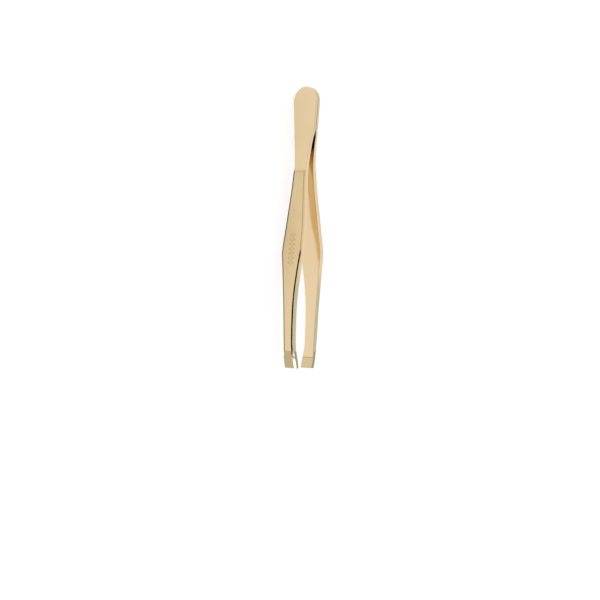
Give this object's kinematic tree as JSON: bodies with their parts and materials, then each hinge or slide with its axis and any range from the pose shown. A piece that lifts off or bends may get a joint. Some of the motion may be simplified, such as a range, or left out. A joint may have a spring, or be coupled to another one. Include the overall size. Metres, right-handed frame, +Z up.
{
  "type": "claw tip tweezers",
  "caption": "Sprung eyebrow tweezers of thin metal, with two leaf arms welded in a round head and square claw tips bent inwards.",
  "frame": {"origin": "on the surface that the tweezers lie on, under the middle of their length, in the plane midway between the two arms", "axes": "+X from the head to the tips, Y across the gap between the arms with the front arm at -Y, +Z up along the width of the arms"},
  "size_m": [0.092, 0.0134, 0.0099],
  "materials": {
    "gold_plate": "polished",
    "weld_metal": "matte"
  },
  "bodies": {
    "head": {"front_head_leaf": "gold_plate", "back_head_leaf": "gold_plate", "front_neck_spring": "gold_plate", "back_neck_spring": "gold_plate", "end_spot_weld": "weld_metal", "neck_spot_weld": "weld_metal"},
    "front_arm": {"front_blade": "gold_plate"},
    "back_arm": {"back_blade": "gold_plate"}
  },
  "joints": [
    {"name": "front_arm_flex", "type": "hinge", "parent": "head", "child": "front_arm", "pos_m": [-0.0253, -0.0012, 0.00495], "axis": [0, 0, 1], "range_deg": [0, 2.48], "stiffness_Nm_per_rad": 2.2},
    {"name": "back_arm_flex", "type": "hinge", "parent": "head", "child": "back_arm", "pos_m": [-0.0253, 0.0012, 0.00495], "axis": [0, 0, 1], "range_deg": [-2.48, 0], "stiffness_Nm_per_rad": 2.2}
  ],
  "couplings": [
    {"joint": "back_arm_flex", "follows": "front_arm_flex", "ratio": -1}
  ]
}
